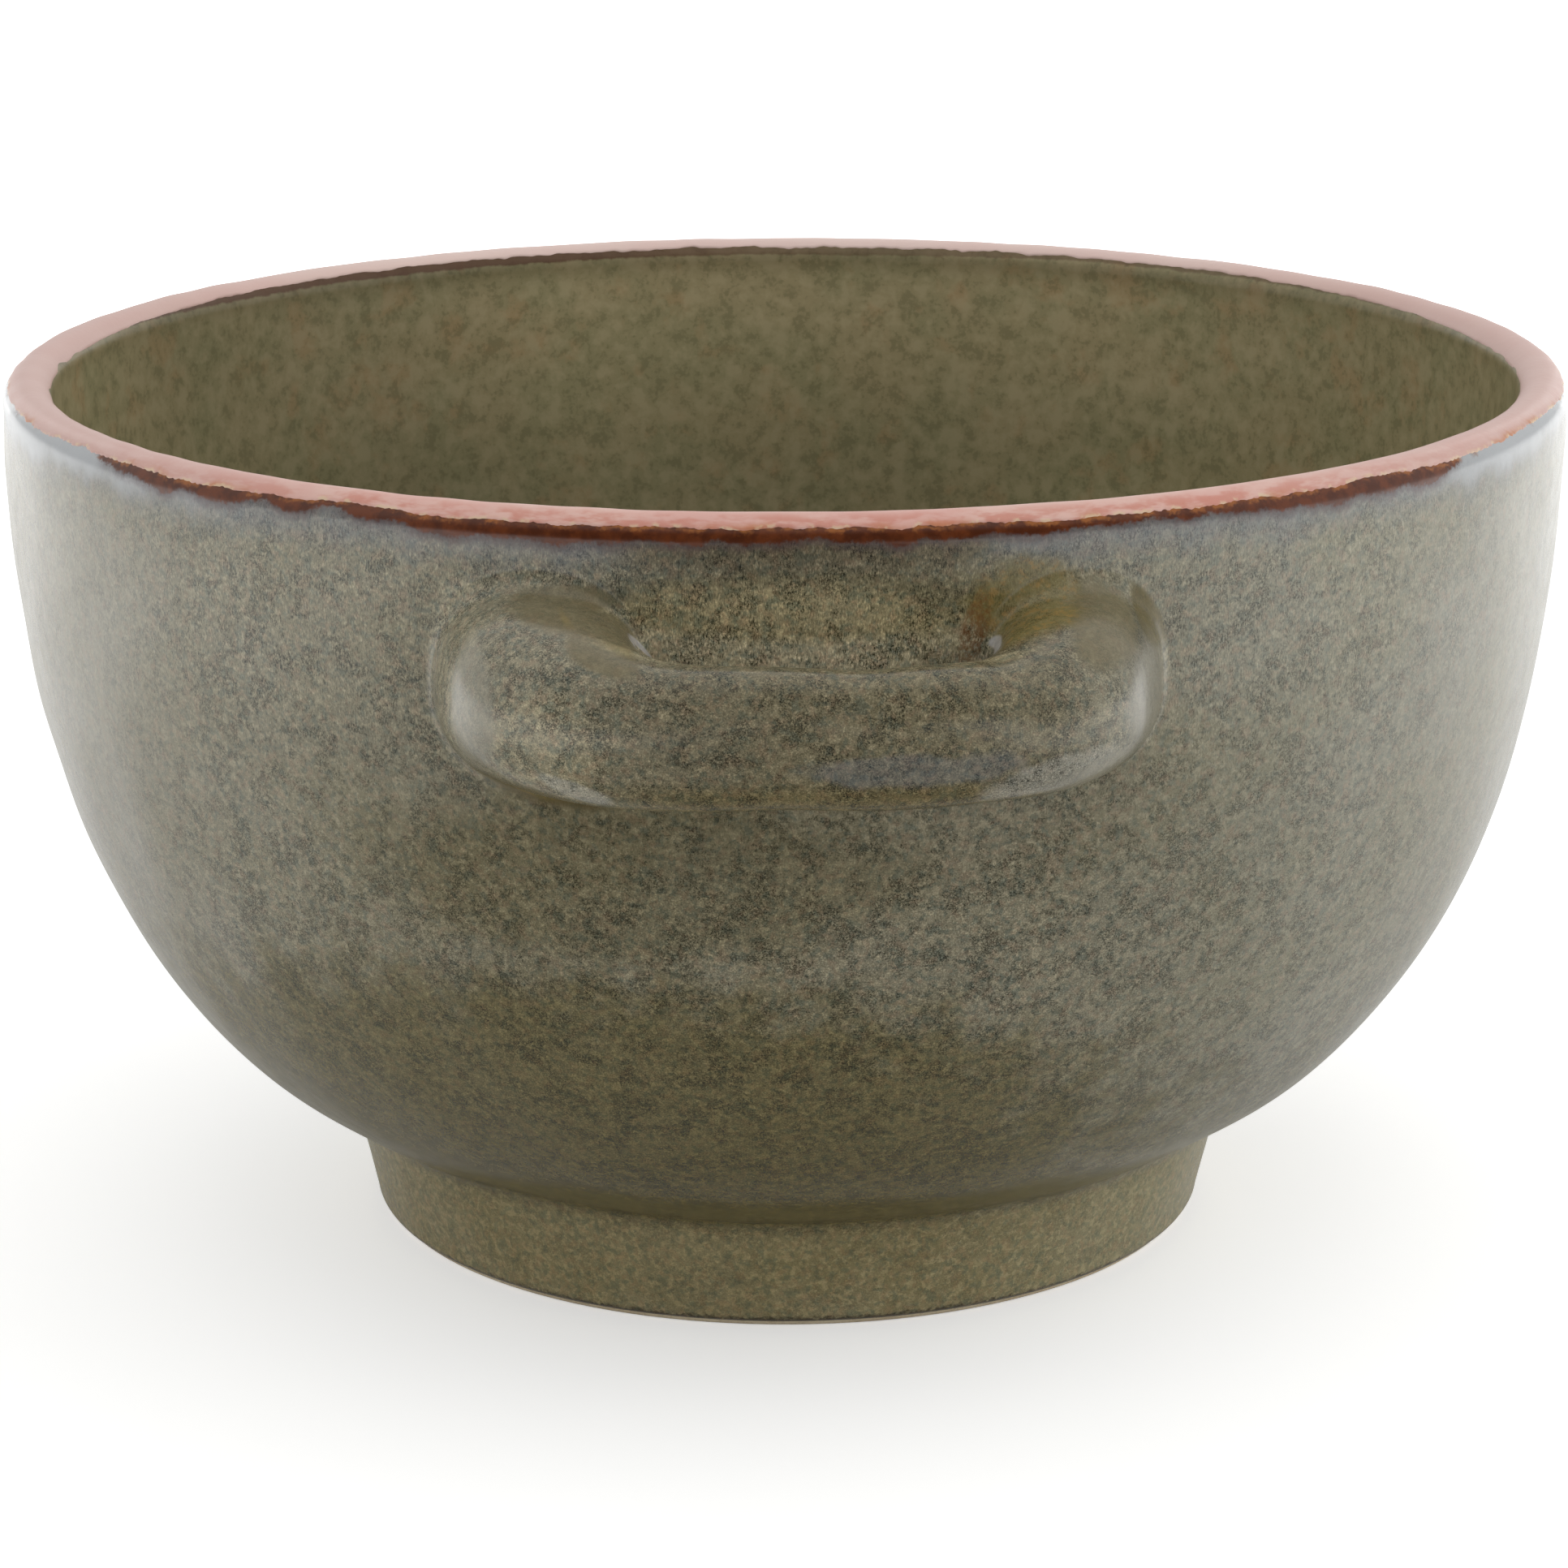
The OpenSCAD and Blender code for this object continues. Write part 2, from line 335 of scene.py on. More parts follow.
def wall_points(u, z):
    """Points of the wall, laid out by way round it and height."""
    r = wall_r(z)
    return np.stack([r * np.cos(u / FLAT_R), r * np.sin(u / FLAT_R), z], -1)


def share_where_off_wall(angle, distance, arm):
    """How far along the lug each line leaves the wall by a distance."""
    t = np.linspace(0, 1, 1201)
    found = np.zeros(len(angle))
    for k, a in enumerate(angle):
        line = lug_points(t, np.full_like(t, a), arm)
        off = np.hypot(line[:, 0], line[:, 1]) - wall_r(line[:, 2]) - distance[k]
        first = np.argmax(off > 0)
        found[k] = np.interp(0, off[first - 1:first + 1], t[first - 1:first + 1])
    return found


def lug_rings(window_u, window_z, arm_u, half_u, half_z, arm):
    """Rings from the window in the wall, over the fillet, to the middle of the bar."""
    angle = np.arctan2((window_z - LUG_Z) / half_z, (window_u - arm_u) / half_u)
    up, down = np.maximum(0, np.sin(angle)), np.maximum(0, -np.sin(angle))
    pooled = arm[4]
    spread = 0.7 + 1.4 * up ** 2 + pooled * down ** 2
    rise = 0.8 + 1.4 * up ** 2 + pooled * down ** 2

    root = lug_points(share_where_off_wall(angle, np.zeros(len(angle)), arm), angle, arm)
    root_u = FLAT_R * np.arctan2(root[:, 1], root[:, 0])
    flat_root = np.stack([root_u, root[:, 2]], 1)
    along = unit(np.roll(flat_root, -1, 0) - np.roll(flat_root, 1, 0))
    outward = np.stack([along[:, 1], -along[:, 0]], 1)
    oval = flat_root + spread[:, None] * outward

    rings = []
    flat_steps = 6
    for i in range(flat_steps):
        s = i / flat_steps
        rings.append(wall_points(window_u + s * (oval[:, 0] - window_u),
                                 window_z + s * (oval[:, 1] - window_z)))
    start = wall_points(oval[:, 0], oval[:, 1])
    step = 0.01
    side = wall_points(oval[:, 0] + step, oval[:, 1]) - start
    rise_way = wall_points(oval[:, 0], oval[:, 1] + step) - start
    normal = unit(np.cross(side, rise_way))
    share = share_where_off_wall(angle, rise, arm)
    end = lug_points(share, angle, arm)
    leave = root - start
    leave -= np.sum(leave * normal, 1, keepdims=True) * normal
    arrive = unit(lug_points(share + step, angle, arm) - end)
    reach = np.linalg.norm(end - root, axis=1, keepdims=True)
    handles = [start, start + 0.56 * leave, end - 0.56 * reach * arrive, end]
    fillet_steps = 12
    for i in range(fillet_steps):
        rings.append(bezier(handles, np.array(i / fillet_steps)))
    bar_steps = 54
    for i in range(bar_steps + 1):
        s = i / bar_steps
        rings.append(lug_points(share + s * (1 - share), angle, arm))
    return rings


def window_border(first, last, top, bottom):
    """The window's border, counter-clockwise seen from outside, as rows and columns."""
    border = [(row, last) for row in range(bottom, top, -1)]
    border += [(top, column) for column in range(last, first, -1)]
    border += [(row, first) for row in range(top, bottom)]
    border += [(bottom, column) for column in range(first, last)]
    return border


def band_edge(angle, fine=True):
    """Run at which the pink band's ragged outer edge lies, by angle round the rim."""
    ragged = 0.12 * ring_waves(angle, RIM_R, 9, 45, 10, 21)
    ragged += 0.07 * ring_waves(angle, RIM_R, 2.4, 8, 22, 22)
    if fine:
        ragged += 0.06 * np.abs(ring_waves(angle, RIM_R, 1.2, 3, 30, 24)) - 0.04
        ragged += 0.03 * ring_waves(angle, RIM_R, 0.5, 1.1, 40, 23)
    return BAND_OUTER_RUN + np.clip(ragged, -0.45, 0.5)


def rust_width(points):
    """Width of the rust band under the pink by bearing from the nearer lug, in mm."""
    facing = np.where(points[:, 1] > 0, -1.0, 1.0)
    bearing = np.degrees(np.arctan2(points[:, 0] * facing, np.abs(points[:, 1])))
    angle = np.arctan2(points[:, 1], points[:, 0])
    width = np.interp(bearing, RUST_BEARINGS, RUST_WIDTHS)
    return np.clip(width + 0.12 * ring_waves(angle, RIM_R, 3, 12, 20, 31), 0, 2)


def outside_skin():
    outline = outside_outline()
    run = run_along(outline, LIP_R * math.radians(90 - 60))
    rows = len(outline)
    turn = 2 * math.pi / COLUMNS
    on_wall = np.arange(rows)[(outline[:, 0] > 60) & (outline[:, 1] < LIP_Z)]
    top = on_wall[np.argmax(outline[on_wall, 1] < WINDOW_HIGH_Z)]
    bottom = on_wall[np.argmax(outline[on_wall, 1] < WINDOW_LOW_Z)]
    middle_u = (LUG_HALF_W + LUG_GAP_HALF_W) / 2
    arm_u = FLAT_R * math.asin(middle_u / FLAT_R)
    first = round((arm_u - WINDOW_REACH_U) / FLAT_R / turn)
    last = round((arm_u + WINDOW_REACH_U) / FLAT_R / turn)
    border = window_border(first, last, top, bottom)
    window_u = np.array([column * turn * FLAT_R for _, column in border])
    window_z = np.array([outline[row, 1] for row, _ in border])
    half_z = (outline[top, 1] - outline[bottom, 1]) / 2
    half_u = (last - first) * turn * FLAT_R / 2
    right = lug_rings(window_u, window_z, arm_u, half_u, half_z, RIGHT_ARM)
    left = lug_rings(window_u, window_z, arm_u, half_u, half_z, LEFT_ARM)

    used = np.ones((rows, COLUMNS), bool)
    cell = np.ones((rows - 1, COLUMNS), bool)
    lug_columns = (0, COLUMNS // 2)
    for lug in lug_columns:
        for low, high in ((first, last), (-last, -first)):
            for column in range(low, high):
                cell[top:bottom, (lug + column) % COLUMNS] = False
                if column > low:
                    used[top + 1:bottom, (lug + column) % COLUMNS] = False
    number = -np.ones((rows, COLUMNS), int)
    number[used] = np.arange(used.sum())
    angle = -math.pi / 2 + turn * np.arange(COLUMNS)
    grid = np.stack([outline[:, :1] * np.cos(angle), outline[:, :1] * np.sin(angle),
                     np.repeat(outline[:, 1:], COLUMNS, 1)], -1)
    points = [grid[used]]
    runs = [np.repeat(run[:, None], COLUMNS, 1)[used]]
    faces = []
    for i in range(rows - 1):
        for j in np.nonzero(cell[i])[0]:
            k = (j + 1) % COLUMNS
            faces.append((number[i, j], number[i + 1, j], number[i + 1, k], number[i, k]))

    count = int(used.sum())
    for lug in lug_columns:
        axis = angle[lug]
        out = np.array([math.cos(axis), math.sin(axis)])
        side = np.array([-math.sin(axis), math.cos(axis)])
        mirror = [ring * np.array([1, -1, 1]) for ring in left[:-1]]
        rings = right + mirror[::-1]
        loops = [[number[row, (lug + column) % COLUMNS] for row, column in border]]
        for ring in rings[1:-1]:
            flat = ring[:, :1] * out + ring[:, 1:2] * side
            points.append(np.concatenate([flat, ring[:, 2:]], 1))
            runs.append(np.interp(-ring[:, 2], -outline[:, 1], run))
            loops.append(list(range(count, count + len(ring))))
            count += len(ring)
        loops.append([number[row, (lug - column) % COLUMNS] for row, column in border])
        for loop, after in zip(loops, loops[1:]):
            for a, b, c, d in zip(loop, loop[1:] + loop[:1], after[1:] + after[:1], after):
                faces.append((a, b, c, d))

    points, runs = np.concatenate(points), np.concatenate(runs)
    normals = vertex_normals(points, faces)
    free = smooth_step(4.5, 9, runs) * smooth_step(2, 6, points[:, 2])
    on_lug = smooth_step(70.5, 75, np.hypot(points[:, 0], points[:, 1]))
    swell = 0.09 * waves(points, 26, 60, 14, 3) + 0.05 * waves(points, 11, 22, 22, 5)
    swell += on_lug * 0.07 * waves(points, 7, 16, 26, 8)
    points = points + (free * swell)[:, None] * normals
    borders = [[int(n) for n in number[0]][::-1], [int(n) for n in number[-1]]]
    below = runs - band_edge(np.arctan2(points[:, 1], points[:, 0]), fine=False)
    rust = rust_width(points)
    points, faces = closed_shell(points, faces, borders, SKIN_T)
    faces = [tuple(int(v) for v in f) for f in faces]
    piece = mesh_object("glaze_outside_and_lugs", points, faces,
                        below=np.tile(below, 2), rust=np.tile(rust, 2))
    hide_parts("outside_glaze", "lug_glaze_front", "lug_glaze_back")
    return piece


def turned_grid(outline, columns, facing_out):
    """Vertices and faces of an outline turned round the axis."""
    angle = -math.pi / 2 + 2 * math.pi * np.arange(columns) / columns
    points = np.stack([outline[:, :1] * np.cos(angle), outline[:, :1] * np.sin(angle),
                       np.repeat(outline[:, 1:], columns, 1)], -1).reshape(-1, 3)
    faces = []
    for i in range(len(outline) - 1):
        for j in range(columns):
            k = (j + 1) % columns
            corners = (i * columns + j, (i + 1) * columns + j,
                       (i + 1) * columns + k, i * columns + k)
            faces.append(corners if facing_out else corners[::-1])
    return points, faces


def capped(points, faces, columns, middle, facing_out):
    """Closes the last ring of a turned grid with a fan round a middle point."""
    count = len(points)
    for j in range(columns):
        a, b = count - columns + j, count - columns + (j + 1) % columns
        faces.append((a, count, b) if facing_out else (b, count, a))
    return np.concatenate([points, [middle]]), faces


def inside_skin():
    columns = 480
    outline = inside_outline()
    run = run_along(outline, LIP_R * math.radians(124 - 90))
    points, faces = turned_grid(outline[:-1], columns, False)
    runs = np.concatenate([np.repeat(run[:-1], columns), run[-1:]])
    points, faces = capped(points, faces, columns, [0, 0, outline[-1, 1]], False)
    normals = vertex_normals(points, faces)
    free = smooth_step(6, 14, runs)
    swell = 0.1 * waves(points, 24, 60, 16, 11) + 0.03 * waves(points, 9, 20, 22, 12)
    points = points + (free * swell)[:, None] * normals
    border = list(range(columns))
    points, faces = closed_shell(points, faces, [border], SKIN_T)
    piece = mesh_object("glaze_inside", points, faces, run=np.tile(runs, 2))
    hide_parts("inside_glaze")
    return piece


def rim_skin():
    """The pink band over the lip, with a ragged edge on both sides."""
    columns = 2304
    angle = -math.pi / 2 + 2 * math.pi * np.arange(columns) / columns
    outer_run = band_edge(angle)
    at_sides = np.cos(angle) ** 6
    ragged = 0.08 * ring_waves(angle, RIM_R, 5, 30, 10, 25)
    ragged += 0.05 * ring_waves(angle, RIM_R, 1, 5, 30, 26)
    inner_run = BAND_INNER_RUN + at_sides + (1 - 0.85 * np.cos(angle) ** 2) * ragged
    across = np.concatenate([[0, 0.0], np.linspace(0, 1, 21)[1:-1], [1.0, 1], [0.75, 0.5, 0.25]])
    edge = np.minimum(across, 1 - across) / 0.06
    height = -0.09 + 0.09 * np.sqrt(np.clip(1 - (1 - np.clip(edge, 0, 1)) ** 2, 0, 1))
    height[0] = height[-4] = -0.34
    height[-3:] = -0.34
    run = outer_run + across[:, None] * (-inner_run - outer_run)
    section = np.pi / 2 - run / LIP_R
    wobble = 0.02 * ring_waves(angle, RIM_R, 6, 30, 14, 27)
    radius = LIP_R + height[:, None] + wobble * (height[:, None] > -0.05)
    r = LIP_CENTRE_R + radius * np.cos(section)
    z = LIP_Z + radius * np.sin(section)
    points = np.stack([r * np.cos(angle), r * np.sin(angle), z], -1).reshape(-1, 3)
    rows = len(across)
    faces = []
    for i in range(rows):
        n = (i + 1) % rows
        for j in range(columns):
            k = (j + 1) % columns
            faces.append((i * columns + j, i * columns + k, n * columns + k, n * columns + j))
    piece = mesh_object("rim_band_pink", points, faces, edge=outer_run - run)
    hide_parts("rim_band")
    return piece


# Materials

def linear(r, g, b):
    """A colour read as 0 to 255 on the screen, as Blender stores it."""
    def one(value):
        value /= 255
        return value / 12.92 if value <= 0.04045 else ((value + 0.055) / 1.055) ** 2.4
    return (one(r), one(g), one(b), 1.0)


class Nodes:
    """Short calls for building a node tree."""

    def __init__(self, tree):
        self.tree = tree
        tree.nodes.clear()

    def put(self, socket, value):
        if isinstance(value, bpy.types.NodeSocket):
            self.tree.links.new(value, socket)
        else:
            socket.default_value = value

    def vector(self, operation, a, b):
        node = self.tree.nodes.new("ShaderNodeVectorMath")
        node.operation = operation
        self.put(node.inputs[0], a)
        self.put(node.inputs[1], b)
        return node.outputs[0]

    def math(self, operation, a, b=0.0, c=0.0):
        node = self.tree.nodes.new("ShaderNodeMath")
        node.operation = operation
        for socket, value in zip(node.inputs, (a, b, c)):
            self.put(socket, value)
        return node.outputs[0]

    def add(self, a, b):
        return self.math("ADD", a, b)

    def times(self, *amounts):
        total = amounts[0]
        for amount in amounts[1:]:
            total = self.math("MULTIPLY", total, amount)
        return total

    def step(self, value, low, high):
        """0 at low and below, 1 at high and above, smooth between; low may be the larger."""
        node = self.tree.nodes.new("ShaderNodeMapRange")
        node.interpolation_type = "SMOOTHSTEP"
        flip = low > high
        self.put(node.inputs["Value"], value)
        self.put(node.inputs["From Min"], min(low, high))
        self.put(node.inputs["From Max"], max(low, high))
        self.put(node.inputs["To Min"], 1.0 if flip else 0.0)
        self.put(node.inputs["To Max"], 0.0 if flip else 1.0)
        return node.outputs["Result"]

    def flip(self, value):
        return self.math("SUBTRACT", 1.0, value)

    def limit(self, value):
        return self.math("MINIMUM", value, 1.0)

    def most(self, *amounts):
        total = amounts[0]
        for amount in amounts[1:]:
            total = self.math("MAXIMUM", total, amount)
        return total

    def rays(self):
        """1 for camera rays, and 1 for glossy and transmission rays."""
        path = self.tree.nodes.new("ShaderNodeLightPath").outputs
        return path["Is Camera Ray"], self.most(path["Is Glossy Ray"], path["Is Transmission Ray"])

    def coordinates(self, kind):
        return self.tree.nodes.new("ShaderNodeTexCoord").outputs[kind]

    def shader(self, kind, **values):
        node = self.tree.nodes.new(kind)
        for socket, value in values.items():
            self.put(node.inputs[socket], value)
        return node.outputs[0]

    def mix(self, amount, a, b):
        """Colour a where amount is 0 and colour b where it is 1."""
        node = self.tree.nodes.new("ShaderNodeMix")
        node.data_type = "RGBA"
        first_colour, second_colour, mixed_colour = node.inputs[6], node.inputs[7], node.outputs[2]
        self.put(node.inputs[0], amount)
        self.put(first_colour, a)
        self.put(second_colour, b)
        return mixed_colour

    def tint(self, amount, colour, factors):
        """The colour multiplied by the three factors where amount is 1."""
        return self.mix(amount, colour, self.vector("MULTIPLY", colour, factors))

    def parts(self, vector):
        node = self.tree.nodes.new("ShaderNodeSeparateXYZ")
        self.put(node.inputs[0], vector)
        return node.outputs


class Paint(Nodes):
    """A material that is laid out in millimetres of the object."""

    def __init__(self, name):
        self.material = bpy.data.materials.new(name)
        self.material.use_nodes = True
        super().__init__(self.material.node_tree)
        self.output = self.tree.nodes.new("ShaderNodeOutputMaterial")
        self.mm = self.vector("MULTIPLY", self.coordinates("Object"), (1 / MM, 1 / MM, 1 / MM))

    def noise(self, size, detail=2.0, rough=0.55, twist=0.0, shift=None, stretch=None):
        """Noise on a lattice of size mm; its main waves are nearly twice as long."""
        place = self.mm
        if shift is not None:
            place = self.vector("ADD", place, shift)
        if stretch is not None:
            place = self.vector("MULTIPLY", place, stretch)
        node = self.tree.nodes.new("ShaderNodeTexNoise")
        self.put(node.inputs["Vector"], place)
        node.inputs["Scale"].default_value = 1 / size
        node.inputs["Detail"].default_value = detail
        node.inputs["Roughness"].default_value = rough
        node.inputs["Distortion"].default_value = twist
        return node.outputs["Fac"]

    def attribute(self, name):
        node = self.tree.nodes.new("ShaderNodeAttribute")
        node.attribute_name = name
        return node.outputs["Fac"]

    def bump(self, height, depth):
        """Relief of a depth in mm for a height from 0 to 1."""
        node = self.tree.nodes.new("ShaderNodeBump")
        node.inputs["Strength"].default_value = 1.0
        node.inputs["Distance"].default_value = depth * MM
        self.put(node.inputs["Height"], height)
        return node.outputs["Normal"]

    def finish(self, colour, roughness, normal, specular):
        shader = self.tree.nodes.new("ShaderNodeBsdfPrincipled")
        self.put(shader.inputs["Base Color"], colour)
        self.put(shader.inputs["Roughness"], roughness)
        self.put(shader.inputs["Specular IOR Level"], specular)
        self.put(shader.inputs["Normal"], normal)
        self.tree.links.new(shader.outputs[0], self.output.inputs["Surface"])
        return self.material


def blob(paint, place, centre, size, wander, turn=0.0):
    """1 in the middle of a soft oval patch, 0 outside; turned in degrees, positive rises right."""
    across, up = place
    cos, sin = math.cos(math.radians(turn)), math.sin(math.radians(turn))
    dx, dz = paint.add(across, -centre[0]), paint.add(up, -centre[1])
    along = paint.times(paint.add(paint.times(dx, cos), paint.times(dz, sin)), 1 / size[0])
    off = paint.times(paint.add(paint.times(dz, cos), paint.times(dx, -sin)), 1 / size[1])
    far = paint.math("SQRT", paint.add(paint.times(along, along), paint.times(off, off)))
    return paint.step(paint.add(far, wander), 1.2, 0.7)


class GlazeMap:
    """Places and amounts on the outside that the layers of its glaze share."""

    def __init__(self, paint):
        self.paint = paint
        x, y, self.z = paint.parts(paint.mm)
        self.below = paint.attribute("below")
        self.rust = paint.attribute("rust")
        self.out = paint.math("SQRT", paint.add(paint.times(x, x), paint.times(y, y)))
        self.on_lug = paint.step(self.out, 70.6, 73.5)
        self.on_wall = paint.flip(self.on_lug)
        # Nearer to the wall than the lug's bar is
        self.corner = paint.step(self.out, 77.5, 75.0)
        # Way across as seen by someone who faces the nearer lug
        self.across = paint.times(x, paint.times(paint.math("SIGN", y), -1.0))
        self.aside = paint.math("ABSOLUTE", self.across)
        self.near_lug = paint.step(self.aside, 17, 12)
        self.foot = paint.step(self.z, 11.5, 9.0)
        self.wander = paint.times(paint.add(paint.noise(5, 3.0, 0.6), -0.5), 1.6)
        self.blotch = paint.noise(0.62, 3.0, 0.6, twist=0.4)
        self.ragged = paint.add(paint.noise(0.5, 3.0, 0.65), -0.5)
        self.beside = self.patch((26.7, 70.0), (2.8, 0.9), turn=-62, wavy=0.2)
        # 1 on the two sides with the lugs, 0 half way between them, where those sides meet
        turned = paint.math("DIVIDE", paint.math("ABSOLUTE", y), self.out)
        self.facing = paint.step(turned, 0.0, 0.35)
        # How strong the mottle is: most near the lug, least far out
        far_left = paint.times(paint.step(self.across, -16, -34), 0.4)
        lively = paint.times(paint.step(self.across, 40, 12), paint.flip(far_left))
        self.lively = paint.add(0.3, paint.times(self.facing, paint.add(lively, -0.3)))
        self.plain = paint.step(self.aside, 44, 60)

    def patch(self, middle, size, turn=0.0, wavy=0.4):
        """A soft oval placed by the way across and the height."""
        wander = self.paint.times(self.wander, wavy)
        return blob(self.paint, (self.across, self.z), middle, size, wander, turn)


def mottled_ground(paint, at):
    """Warm grey with beige, grey-green and brown spots about a millimetre wide."""
    drift = paint.noise(16, 3.0, 0.5)
    colour = paint.mix(paint.step(drift, 0.36, 0.64), linear(128, 123, 104), linear(126, 120, 97))
    strong = paint.times(paint.add(0.82, paint.times(at.lively, 0.5)),
                         paint.flip(paint.times(at.plain, 0.5)))
    other = paint.noise(0.7, 2.0, 0.6, shift=(31.0, 17.0, 5.0))
    third = paint.noise(0.8, 2.0, 0.6, shift=(7.0, 41.0, 13.0))
    beige = paint.times(paint.step(at.blotch, 0.46, 0.66), 0.6, strong)
    green = paint.times(paint.step(other, 0.49, 0.64), 0.42, strong)
    brown = paint.times(paint.step(third, 0.50, 0.66), 0.35)
    colour = paint.mix(beige, colour, linear(156, 148, 123))
    colour = paint.mix(green, colour, linear(88, 98, 88))
    colour = paint.mix(brown, colour, linear(142, 120, 98))
    # Lighter and bluer towards the sides: partly greyer glaze, partly painted reflection
    colour = paint.tint(paint.step(at.aside, 20, 50), colour, (1.12, 1.14, 1.20))
    cooler = paint.times(paint.step(at.across, 8, 40), at.facing)
    colour = paint.tint(cooler, colour, (1.02, 1.05, 1.10))
    # Painted light on and beside the lug's left end
    return paint.tint(at.patch((-27.0, 67.5), (2.4, 6.5)), colour, (1.22, 1.22, 1.22))


def add_olive(paint, at, colour):
    """Olive low down, behind the lug and beside it, painted shadow below it, painted shade under the
    rim and painted light in the gap behind the bar.
    """
    low = paint.times(at.patch((-18, 20), (50, 20), wavy=0.5), at.facing)
    all_round = paint.times(paint.step(at.z, 34, 12), 0.3)
    low = paint.limit(paint.add(paint.times(low, 0.8), all_round))
    low = paint.times(low, paint.flip(paint.times(at.foot, 0.6)))
    behind = paint.times(at.patch((0, 72.0), (19, 3.0)), at.on_wall, 0.45)
    # Painted shadow of the lug on the wall below it, in the olive tint
    painted_lug_shadow = paint.times(at.patch((-14, 49), (22, 8)), at.on_wall, 0.4)
    olive = paint.most(low, behind, at.beside, painted_lug_shadow)
    colour = paint.tint(olive, colour, (0.54, 0.48, 0.24))
    rim_shade = paint.times(at.near_lug, at.on_wall, paint.step(at.below, 4.2, 2.0))
    colour = paint.tint(paint.times(rim_shade, 0.75), colour, (0.52, 0.46, 0.38))
    # Painted light on the wall in the gap behind the bar, against the shade there
    painted_gap_light = paint.times(at.patch((-3, 69.2), (17, 4.6)), at.on_wall)
    return paint.tint(painted_gap_light, colour, (1.75, 1.7, 1.65))


def add_lug_tones(paint, at, colour):
    """Painted shade makes the lug's front darker than the wall, and it is brown along its lower edge;
    painted reflection lightens its lower sides, painted light its left end, and painted shade darkens
    its right end.
    """
    # Painted shade on the middle of the bar's front
    middle = paint.times(paint.step(at.across, -22, -8), paint.step(at.across, 25, 17))
    bar = paint.times(at.on_lug, middle)
    colour = paint.tint(bar, colour, (0.76, 0.73, 0.66))
    under_lug = paint.times(paint.step(at.z, 62.0, 60.0), at.on_lug)
    colour = paint.tint(paint.times(under_lug, bar), colour, (0.90, 0.84, 0.66))
    # Painted reflection: pale soft bands low on both sides of the lug
    painted_side_reflection = paint.most(at.patch((-17.8, 60.4), (3.0, 0.8), turn=-20),
                            at.patch((18.2, 61.2), (5.4, 1.5), turn=14))
    painted_side_reflection = paint.times(painted_side_reflection, at.on_lug, 0.55)
    colour = paint.mix(painted_side_reflection, colour, linear(160, 158, 148))
    # Painted light on the lug's left end
    painted_end_light = paint.times(at.patch((-20.0, 63.6), (5.0, 4.6)), at.on_lug)
    colour = paint.tint(painted_end_light, colour, (1.22, 1.20, 1.16))
    # Painted shade on the lug's right end, which tones down its reflection
    painted_end_shade = paint.times(at.on_lug, paint.step(at.across, 23.0, 26.0))
    return paint.tint(painted_end_shade, colour, (0.5, 0.5, 0.5))


def add_clear_glaze(paint, at, colour):
    """Thick glaze without specks at the lug's ends, in its corners and pooled under it; the lighter
    grey at the ends is partly painted reflection.
    """
    # Smooth grey glaze at the lug's ends, partly painted reflection
    clear_grey_and_sheen = paint.most(at.patch((-25.6, 65.0), (1.8, 5.5)), at.patch((26.6, 64.8), (2.4, 5.0)),
                            at.patch((21.5, 60.6), (4.6, 1.2), turn=16))
    clear_grey_and_sheen = paint.times(clear_grey_and_sheen, at.on_lug, 0.6)
    arm_top = at.patch((-15.8, 70.5), (3.0, 1.2), turn=-20)
    arm_top = paint.times(arm_top, paint.step(at.out, 82.6, 81.6))
    clear_olive = paint.most(at.patch((-18.4, 72.4), (4.6, 1.1)), arm_top,
                             at.patch((22.6, 70.8), (3.2, 2.4), turn=-30), at.beside)
    clear_olive = paint.times(clear_olive, 0.65)
    pooled = paint.times(at.patch((-20.4, 57.5), (5.8, 2.2), turn=-14, wavy=0.25), 0.9)
    colour = paint.mix(clear_grey_and_sheen, colour, linear(138, 134, 119))
    colour = paint.mix(clear_olive, colour, linear(104, 94, 64))
    colour = paint.mix(pooled, colour, linear(92, 80, 48))
    return colour, paint.most(clear_grey_and_sheen, clear_olive, pooled)


def add_marks(paint, at, clear, colour):
    """Dark broken lines with specks and sparks, drawn out like hairs high on the wall."""
    upper = paint.times(paint.step(at.z, 44, 66), at.on_wall)
    cells = paint.noise(0.5, 3.0, 0.7, twist=0.5, shift=(3.0, 2.0, 1.0))
    lines = paint.step(paint.math("ABSOLUTE", paint.add(cells, -0.5)), 0.07, 0.0)
    dots = paint.noise(0.13, 2.0, 0.7)
    hairs = paint.noise(0.12, 2.0, 0.7, stretch=(1.0, 1.0, 0.38))
    fine = paint.add(paint.times(dots, paint.flip(upper)), paint.times(hairs, upper))
    gather = paint.add(paint.times(at.blotch, -0.5), paint.noise(2.2, 3.0, 0.6))
    gather = paint.step(gather, 0.16, 0.38)
    specks = paint.times(paint.step(fine, 0.5, 0.36), paint.add(0.4, paint.times(gather, 0.6)))
    marks = paint.most(specks, paint.times(lines, gather, 0.75))
    even = paint.times(paint.most(at.foot, paint.times(at.plain, 0.7)), 0.6)
    calm = paint.times(paint.flip(clear), paint.flip(even))
    marks = paint.times(marks, calm)
    marked = paint.times(marks, paint.add(0.82, paint.times(at.lively, 0.18)))
    colour = paint.tint(marked, colour, (0.11, 0.12, 0.11))
    sparks = paint.times(paint.step(fine, 0.54, 0.68), calm)
    sparks = paint.times(sparks, paint.add(0.36, paint.times(at.lively, 0.44)))
    return paint.tint(sparks, colour, (1.8, 1.8, 1.85)), marks, fine


def between_marks(paint, marks, least, more):
    """An amount that is less where there is a dark mark."""
    return paint.add(least, paint.times(paint.flip(marks), more))


